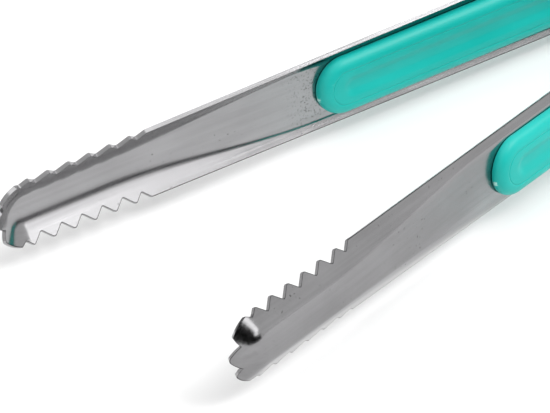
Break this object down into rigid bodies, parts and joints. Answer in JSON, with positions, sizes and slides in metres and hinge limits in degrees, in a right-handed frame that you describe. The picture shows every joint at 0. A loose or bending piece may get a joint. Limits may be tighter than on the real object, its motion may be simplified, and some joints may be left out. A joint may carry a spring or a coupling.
{
  "type": "print tongs",
  "caption": "Hinged tongs with serrated dished steel arms, a pivot with a return spring, and moulded grips inside and outside each arm.",
  "frame": {"origin": "below the middle of the part, on the surface that it lies on, with the arms open", "axes": "+X along the closing plane towards the tips, +Z along the pivot axis, so the arms spread along Y"},
  "size_m": [0.1942, 0.07, 0.0222],
  "materials": {
    "arm_steel": "lengthwise brushed, half bright",
    "pivot_steel": "turned, bright",
    "spring_wire": "drawn wire",
    "grip_plastic": "teal, satin gloss",
    "nylon": "natural, matt"
  },
  "bodies": {
    "pivot": {"pivot_pin": "pivot_steel", "pivot_collar": "pivot_steel", "upper_washer": "nylon", "lower_washer": "nylon", "spring_bush": "nylon", "return_spring": "spring_wire"},
    "wide_side": {"wide_arm": "arm_steel", "wide_arm_outer_grip": "grip_plastic", "wide_arm_inner_grip": "grip_plastic", "spring_leg_plus": "spring_wire"},
    "narrow_side": {"narrow_arm": "arm_steel", "narrow_arm_outer_grip": "grip_plastic", "narrow_arm_inner_grip": "grip_plastic", "spring_leg_minus": "spring_wire"}
  },
  "joints": [
    {"name": "wide_side_close", "type": "hinge", "parent": "pivot", "child": "wide_side", "pos_m": [-0.08905, 0, 0.0111], "axis": [0, 0, -1], "range_deg": [0, 9.7], "stiffness_Nm_per_rad": 2},
    {"name": "narrow_side_close", "type": "hinge", "parent": "pivot", "child": "narrow_side", "pos_m": [-0.08905, 0, 0.0111], "axis": [0, 0, 1], "range_deg": [0, 9.7], "stiffness_Nm_per_rad": 2}
  ],
  "couplings": [
    {"joint": "narrow_side_close", "follows": "wide_side_close", "ratio": 1}
  ]
}
